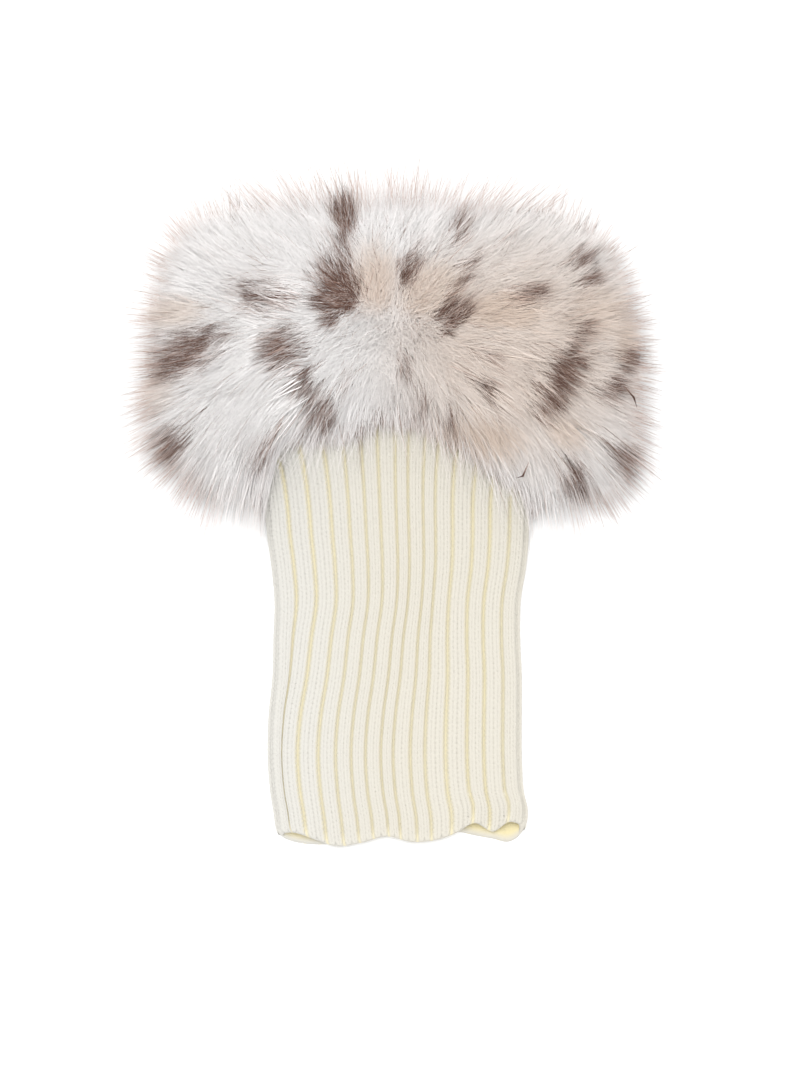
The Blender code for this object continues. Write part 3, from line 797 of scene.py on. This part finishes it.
def grow(coat, draw, tufts, locks, longer_locks, spots_behind):
    """The roots, knees, tips, colours and thickness of a coat's hairs, with painted shade on the tips at the outline.
    """
    tips = scattered_tips(coat.hairs, coat.front, draw)
    tips, lock = gathered(tips, locks, LOCK_GATHER * draw.random(coat.hairs))
    tips, nearest = gathered(tips, tufts, coat.gather * draw.uniform(0.3, 1.0, coat.hairs))
    roots, knees, faced = roots_of(tips, draw)
    faced, rim = lifted(faced)
    longer = draw.uniform(coat.shortest, coat.longest, len(tips))
    wisps = (draw.random(len(tips)) < WISPS + (WISPS_AT_RIM - WISPS) * rim) & coat.guard
    reach = draw.random(len(tips)) ** 2
    longer = np.where(wisps, WISP_LONGER * reach, longer) + longer_locks[lock]
    longer = longer + EDGE_LONGER * rim + reached(tips)
    tips = knees + (tips - knees) * (1.0 + longer)[:, None]
    knees = knees + draw.normal(size=knees.shape) * 1.2
    tips = np.clip(tips, np.array(CAD_LOW) / MM - SHIFT - STAND_PROUD, np.array(CAD_HIGH) / MM - SHIFT + STAND_PROUD)
    tips[:, 2] = np.maximum(tips[:, 2], 0.25)
    knees[:, 2] = np.maximum(knees[:, 2], 0.3)
    seen = along_hair(roots, knees, tips, np.array([SEEN]))[:, 0]
    _, lift, _, _ = core_of(seen)
    dark, warm = hair_colours(seen, seen[:, 2] >= lift, nearest, draw, spots_behind, not coat.guard)
    radius = coat.radius * draw.uniform(0.75, 1.3, len(tips)) * (1.0 + DARK_THICKER * dark * coat.guard)
    if coat.guard:
        on_top = tips.copy()
        for number, curve in enumerate(LOOSE_HAIRS):
            near = (np.hypot(*(on_top[:, :2] - point).T) < LOOSE_NEAR for point in curve)
            tops = [np.percentile(on_top[found, 2], LOOSE_DEPTH) for found in near]
            roots[number], knees[number], tips[number] = np.column_stack([curve, tops])
            dark[number], radius[number] = LOOSE_DARK, LOOSE_RADIUS
    # Tips darken towards the outline, away from the fringe over the knit: painted shade, where pale hair looks grey
    # against the white floor
    rim = rim * np.maximum(eased(52.0, 66.0, np.abs(tips[:, 0])), eased(150.0, 165.0, tips[:, 1]))
    tip_tint_and_shade = np.where(wisps, WISP_TINT_AND_SHADE * reach, TIP_TINT_AND_SHADE * draw.random(len(tips)))
    tip_tint_and_shade = tip_tint_and_shade * (TINTED_INSIDE + (1.0 - TINTED_INSIDE) * rim)
    return roots, knees, tips, faced, dark, warm, tip_tint_and_shade, radius


def grow_edge(coat, placed, draw, spots_behind):
    """The same for the hairs at one of the pelt's edges."""
    roots, knees, tips, faced, on_front = placed(coat, draw)
    tips, nearest = gathered(tips, bunches_of(tips[::14]), coat.gather * draw.uniform(0.3, 1.0, coat.hairs))
    knees = knees + draw.normal(size=knees.shape) * 0.5
    tips[:, 2] = np.maximum(tips[:, 2], 0.25)
    knees[:, 2] = np.maximum(knees[:, 2], 0.3)
    dark, warm = hair_colours(tips, on_front, nearest, draw, spots_behind)
    # Fringe hairs darken at random, partly as darker hairs and partly as painted shade where they hang over the knit;
    # the brow keeps a tenth of its darkness
    dark = np.maximum(dark, FRINGE_DARK_AND_SHADE * draw.random(len(tips)) ** 2) if coat is FRINGE else 0.1 * dark
    radius = coat.radius * draw.uniform(0.75, 1.3, len(tips))
    return roots, knees, tips, lifted(faced)[0], dark, warm, 0.0 * dark, radius


def hair_meshes(coat, grown, finish, draw):
    """A coat's hairs as joined copies of one three-sided hair, in pieces of a size that stays workable."""
    model, model_faces = hair(coat.ring)
    ring, share = model[:, :2], model[:, 2]
    darkening = np.interp(share, *np.array(DARKENING).T)
    tipped = np.interp(share, (0.55, 1.0), (0.0, 1.0)) * coat.guard
    pieces = []
    order = np.argsort(grown[2][:, 0], kind="stable")
    for number, chosen in enumerate(np.array_split(order, math.ceil(coat.hairs / coat.piece))):
        roots, knees, tips, faced, dark, warm, tip_tint_and_shade, radius = (values[chosen] for values in grown)
        centre = along_hair(roots, knees, tips, share)
        chord = tips - roots
        across = np.cross(chord, draw.normal(size=chord.shape))
        across /= np.linalg.norm(across, axis=1, keepdims=True)
        aside = np.cross(chord / np.linalg.norm(chord, axis=1, keepdims=True), across)
        around = ring[None, :, :1] * across[:, None] + ring[None, :, 1:] * aside[:, None]
        points = (centre + radius[:, None, None] * around).reshape(-1, 3)
        normals = PILE_SHADING * faced[:, None] + (1.0 - PILE_SHADING) * around
        # Each point takes the hair's own darkness or the painted shade and tint of its tip, whichever is darker
        tone = np.maximum(dark[:, None] * darkening, tip_tint_and_shade[:, None] * tipped)
        colour_map = np.stack([np.minimum(tone, 1.0), np.broadcast_to(warm[:, None], tone.shape)], -1).reshape(-1, 2)
        faces = copied(model_faces, len(chosen), len(model))
        piece = new_piece(f"{coat.name}_{number + 1}", points, faces, finish, 0.01 + 0.98 * colour_map)
        shade(piece, normals.reshape(-1, 3))
        pieces.append(piece)
    return pieces


def fur(finish):
    draw = np.random.default_rng(SEED)
    spots_behind = back_spots(draw)
    tufts, locks = (bunches_of(scattered_tips(count, 0.5, draw)) for count in (TUFTS, LOCKS))
    longer = LOCK_LONGER * draw.uniform(-0.5, 1.0, LOCKS)
    pieces = []
    for coat in COATS:
        pieces += hair_meshes(coat, grow(coat, draw, tufts, locks, longer, spots_behind), finish, draw)
    for coat, placed in ((FRINGE, hanging), (BROW, standing)):
        pieces += hair_meshes(coat, grow_edge(coat, placed, draw, spots_behind), finish, draw)
    return pieces


def bunches_of(points):
    """Points that the hairs near them gather to."""
    tree = KDTree(len(points))
    for index, point in enumerate(points):
        tree.insert(point, index)
    tree.balance()
    return tree


def gathered(tips, tree, share):
    """Tips drawn this far to the bunch that each lies nearest to, and the bunches' numbers."""
    found = [tree.find(tip) for tip in tips]
    centres = np.array([centre[:] for centre, _, _ in found])
    return tips + (centres - tips) * share[:, None], np.array([index for _, index, _ in found])


class Finish:
    """A material with its shader, and short ways to add and link its nodes."""

    def __init__(self, name, roughness):
        self.material = bpy.data.materials.new(name)
        self.material.use_nodes = True
        self.tree = self.material.node_tree
        self.shader = self.tree.nodes["Principled BSDF"]
        self.shader.inputs["Roughness"].default_value = roughness

    def node(self, kind, **settings):
        node = self.tree.nodes.new(kind)
        for name, value in settings.items():
            setattr(node, name, value)
        return node

    def link(self, start, end):
        self.tree.links.new(start, end)

    def mixed(self, share, first, second):
        """A colour between two others, each a socket or a colour."""
        mix = self.node("ShaderNodeMix", data_type="RGBA")
        for socket, value in zip((mix.inputs[0], mix.inputs[6], mix.inputs[7]), (share, first, second)):
            if isinstance(value, bpy.types.NodeSocket):
                self.link(value, socket)
            elif isinstance(value, tuple):
                socket.default_value = (*value, 1.0)
            else:
                socket.default_value = value
        return mix.outputs[2]

    def between(self, value, low, high):
        """From 0 where the value is low to 1 where it is high."""
        scaled = self.node("ShaderNodeMapRange")
        scaled.inputs["From Min"].default_value = low
        scaled.inputs["From Max"].default_value = high
        self.link(value, scaled.inputs["Value"])
        return scaled.outputs["Result"]

    def noise(self, scale, detail=2.0):
        places = self.node("ShaderNodeTexCoord")
        noise = self.node("ShaderNodeTexNoise")
        noise.inputs["Scale"].default_value = scale
        noise.inputs["Detail"].default_value = detail
        self.link(places.outputs["Object"], noise.inputs["Vector"])
        return noise.outputs["Fac"]

    def bumped(self, height, strength, distance):
        bump = self.node("ShaderNodeBump")
        bump.inputs["Strength"].default_value = strength
        bump.inputs["Distance"].default_value = distance
        self.link(height, bump.inputs["Height"])
        self.link(bump.outputs["Normal"], self.shader.inputs["Normal"])


def fur_finish():
    """White, beige and dark hair, told apart by the piece's map: across it is darker, and up it is warmer."""
    finish = Finish("long_pile_fur", 0.7)
    finish.shader.inputs["Specular IOR Level"].default_value = 0.12
    place = finish.node("ShaderNodeUVMap", uv_map="OFBake")
    parts = finish.node("ShaderNodeSeparateXYZ")
    finish.link(place.outputs["UV"], parts.inputs[0])
    light = finish.mixed(parts.outputs["Y"], FUR_WHITE, FUR_BEIGE)
    brown = finish.mixed(finish.between(parts.outputs["X"], 0.0, BROWN_AT), light, FUR_BROWN)
    colour = finish.mixed(finish.between(parts.outputs["X"], BROWN_AT, 1.0), brown, FUR_DARK)
    finish.link(colour, finish.shader.inputs["Base Color"])
    return finish.material


def knit_finish():
    """Cream yarn that turns yellow in the grooves, with its fibres as a fine unevenness."""
    finish = Finish("cream_rib_knit", 0.85)
    finish.shader.inputs["Specular IOR Level"].default_value = 0.2
    finish.shader.inputs["Sheen Weight"].default_value = 0.1
    groove = finish.node("ShaderNodeAttribute", attribute_name="groove")
    cool = finish.node("ShaderNodeAttribute", attribute_name="cool")
    cream = finish.mixed(cool.outputs["Fac"], KNIT_CREAM, KNIT_COOL)
    colour = finish.mixed(groove.outputs["Fac"], cream, KNIT_GROOVE)
    finish.link(colour, finish.shader.inputs["Base Color"])
    finish.bumped(finish.noise(2200.0, 4.0), 0.6, 0.0004)
    return finish.material


def pelt_finish():
    finish = Finish("pelt_cloth", 0.9)
    colour = finish.mixed(finish.noise(900.0), PELT_CLOTH, FUR_WHITE)
    finish.link(colour, finish.shader.inputs["Base Color"])
    return finish.material


def floor():
    bpy.ops.object.select_all(action="DESELECT")
    bpy.ops.mesh.primitive_plane_add(size=FLOOR_SIDE * MM)
    plane = bpy.context.object
    plane.name = "floor"
    finish = Finish("white_floor", 0.9)
    finish.shader.inputs["Base Color"].default_value = (FLOOR_WHITE, FLOOR_WHITE, FLOOR_WHITE, 1.0)
    finish.shader.inputs["Specular IOR Level"].default_value = 0.0
    plane.data.materials.append(finish.material)


def area_light(name, place, size, power):
    """A soft box that faces the middle of the cuff."""
    data = bpy.data.lights.new(name, "AREA")
    data.shape, data.size, data.energy = "SQUARE", size * MM, power
    light = bpy.data.objects.new(name, data)
    light.location = [value * MM for value in place]
    light.rotation_mode = "QUATERNION"
    light.rotation_quaternion = (-light.location).to_track_quat("-Z", "Y")
    bpy.context.scene.collection.objects.link(light)


def studio():
    """A white floor under soft light from all round, with a little more from the upper left."""
    floor()
    world = bpy.data.worlds.new("studio")
    bpy.context.scene.world = world
    world.use_nodes = True
    world.node_tree.nodes["Background"].inputs["Color"].default_value = (1.0, 1.0, 1.0, 1.0)
    world.node_tree.nodes["Background"].inputs["Strength"].default_value = 1.05
    area_light("key", (-130.0, 380.0, 1650.0), 700.0, 15.5)
    bpy.context.scene.view_settings.view_transform = "Standard"


def camera():
    data = bpy.data.cameras.new("camera")
    data.lens, data.sensor_width = LENS, SENSOR
    eye = bpy.data.objects.new("camera", data)
    height = FOCUS_HEIGHT + VIEW_LENGTH * LENS / SENSOR
    eye.location = [value * MM for value in (VIEW_CENTRE[0] + SHIFT[0], VIEW_CENTRE[1] + SHIFT[1], height)]
    bpy.context.scene.collection.objects.link(eye)
    bpy.context.scene.camera = eye


def carry(pieces):
    for piece in pieces:
        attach(piece, BODY)


def main():
    camera()
    studio()
    cream = knit_finish()
    wall = knit_wall(cream)
    front_ribs = np.arange(len(FRONT_RIB_WIDTHS) + 1)
    back_ribs = np.arange(len(FRONT_RIB_WIDTHS) + 1, RIBS)
    stitches = [
        knit_stitches("stitches_front", front_ribs, LAST_ROW_FRONT, cream),
        knit_stitches("stitches_back", back_ribs, LAST_ROW_BACK, cream),
    ]
    backing = pelt(pelt_finish())
    hairs = fur(fur_finish())
    carry([wall, *stitches])
    carry([backing, *hairs])
    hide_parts("knit_tube")
    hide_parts("fur_band")


main()
